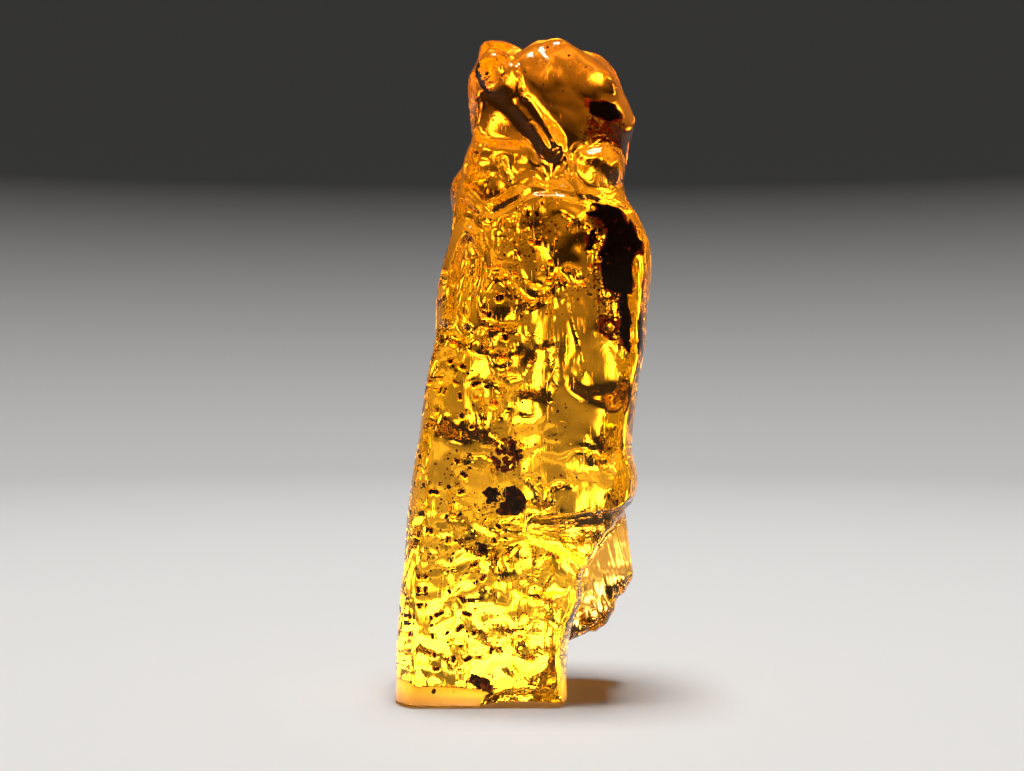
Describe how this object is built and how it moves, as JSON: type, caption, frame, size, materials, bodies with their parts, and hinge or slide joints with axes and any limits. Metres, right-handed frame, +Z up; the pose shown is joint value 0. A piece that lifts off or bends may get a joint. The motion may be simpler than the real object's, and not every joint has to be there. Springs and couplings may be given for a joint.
{
  "type": "raw copal",
  "caption": "Tall natural lump of clear golden tree resin with a polished flat front, a flat base, and dark bark and insect frass sealed inside.",
  "frame": {"origin": "centre of the bounding box, on the plane that the flat base stands on", "axes": "+Z up along the column, -Y out of the polished window, +X to the right as the window is faced"},
  "size_m": [0.0379, 0.0269, 0.0972],
  "materials": {
    "resin": "clear golden resin, polished on the window and glossy elsewhere",
    "bark": "matt black-brown bark",
    "red_bark": "matt red-brown bark grains",
    "frass": "matt dark brown pellets"
  },
  "bodies": {
    "root": {"copal_front": "resin", "copal_back": "resin", "bark_patch": "bark", "bark_sliver": "bark", "head_debris": "bark", "head_crust": "bark", "dark_fragment": "bark", "ragged_fragment": "bark", "bark_chip": "bark", "base_lump": "bark", "grain_cluster": "red_bark", "frass_pellet_01": "frass", "frass_pellet_02": "frass", "frass_pellet_03": "frass", "frass_pellet_04": "frass", "frass_pellet_05": "frass", "frass_pellet_06": "frass", "frass_pellet_07": "frass", "frass_pellet_08": "frass", "frass_pellet_09": "frass", "frass_pellet_10": "frass", "frass_pellet_11": "frass", "frass_pellet_12": "frass", "frass_pellet_13": "frass", "frass_pellet_14": "frass", "frass_pellet_15": "frass", "frass_pellet_16": "frass", "frass_pellet_17": "frass", "frass_pellet_18": "frass", "frass_pellet_19": "frass", "frass_pellet_20": "frass", "frass_pellet_21": "frass", "frass_pellet_22": "frass", "frass_pellet_23": "frass", "frass_pellet_24": "frass", "frass_pellet_25": "frass", "frass_pellet_26": "frass", "frass_pellet_27": "frass", "frass_pellet_28": "frass", "frass_pellet_29": "frass", "frass_pellet_30": "frass", "frass_pellet_31": "frass", "frass_pellet_32": "frass", "frass_pellet_33": "frass", "frass_pellet_34": "frass", "frass_pellet_35": "frass"}
  },
  "joints": []
}
